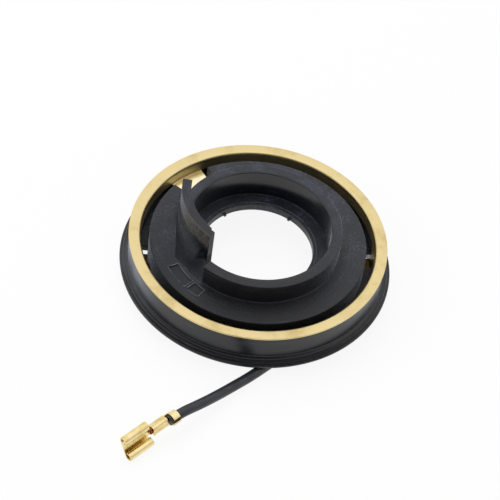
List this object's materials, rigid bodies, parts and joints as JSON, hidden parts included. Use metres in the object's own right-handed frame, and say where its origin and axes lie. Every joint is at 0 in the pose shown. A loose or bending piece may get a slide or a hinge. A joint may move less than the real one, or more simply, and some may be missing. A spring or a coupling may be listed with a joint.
{
  "type": "indicator cancelling cam",
  "caption": "Round moulded steering cam with a resetting blade inside a collar, a pressed brass slip ring on its rim and a short lead with a spade terminal.",
  "frame": {"origin": "centre of the ring-shaped rest face at the foot of the body", "axes": "+Z along the steering axis, from the rest face towards the slip ring; +Y away from the side where the lead leaves; +X to the right when seen from the lead's side"},
  "size_m": [0.076, 0.1104, 0.0189],
  "materials": {
    "body_moulding": "matte, worn and scuffed",
    "ring_brass": "satin, lightly dulled",
    "lead_insulation": "satin",
    "lead_copper": "satin",
    "solder": "satin",
    "terminal_brass": "bright"
  },
  "bodies": {
    "root": {"cam_body": "body_moulding", "slip_ring": "ring_brass", "lead_under_body": "lead_insulation", "lead_tail": "lead_insulation", "inner_strands": "lead_copper", "outer_strands": "lead_copper", "solder_joint": "solder", "spade_terminal": "terminal_brass"}
  },
  "joints": []
}
